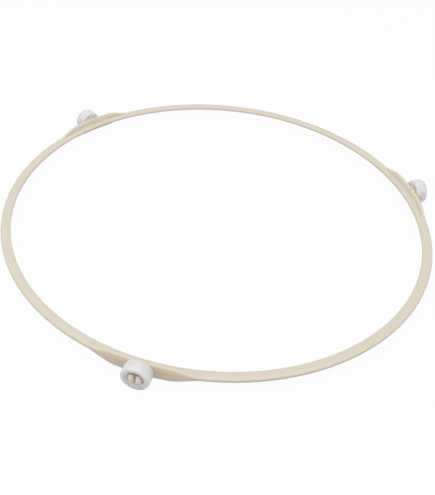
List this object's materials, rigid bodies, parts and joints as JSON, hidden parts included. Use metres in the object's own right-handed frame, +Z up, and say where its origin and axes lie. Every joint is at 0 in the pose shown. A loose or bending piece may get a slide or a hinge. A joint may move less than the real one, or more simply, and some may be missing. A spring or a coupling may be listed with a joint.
{
  "type": "microwave roller ring",
  "caption": "Flat moulded hoop with free-running rollers on snap axles around its outside, which carries a glass turntable plate as it turns on an oven floor.",
  "frame": {"origin": "the ring's centre, on the floor that the rollers run on", "axes": "+Z up, -Y towards the front roller, +X to the right of it"},
  "size_m": [0.24, 0.2477, 0.014],
  "materials": {
    "cream_plastic": "satin moulded cream plastic",
    "white_plastic": "smooth moulded white plastic"
  },
  "bodies": {
    "ring": {"ring": "cream_plastic"},
    "front_roller": {"roller_front": "white_plastic"},
    "right_roller": {"roller_right": "white_plastic"},
    "left_roller": {"roller_left": "white_plastic"}
  },
  "joints": [
    {"name": "front_roller_spin", "type": "hinge", "parent": "ring", "child": "front_roller", "pos_m": [0, -0.1242, 0.007], "axis": [0, -1, 0], "continuous": true},
    {"name": "right_roller_spin", "type": "hinge", "parent": "ring", "child": "right_roller", "pos_m": [0.10756, 0.0621, 0.007], "axis": [0.866, 0.5, 0], "continuous": true},
    {"name": "left_roller_spin", "type": "hinge", "parent": "ring", "child": "left_roller", "pos_m": [-0.10756, 0.0621, 0.007], "axis": [-0.866, 0.5, 0], "continuous": true}
  ]
}
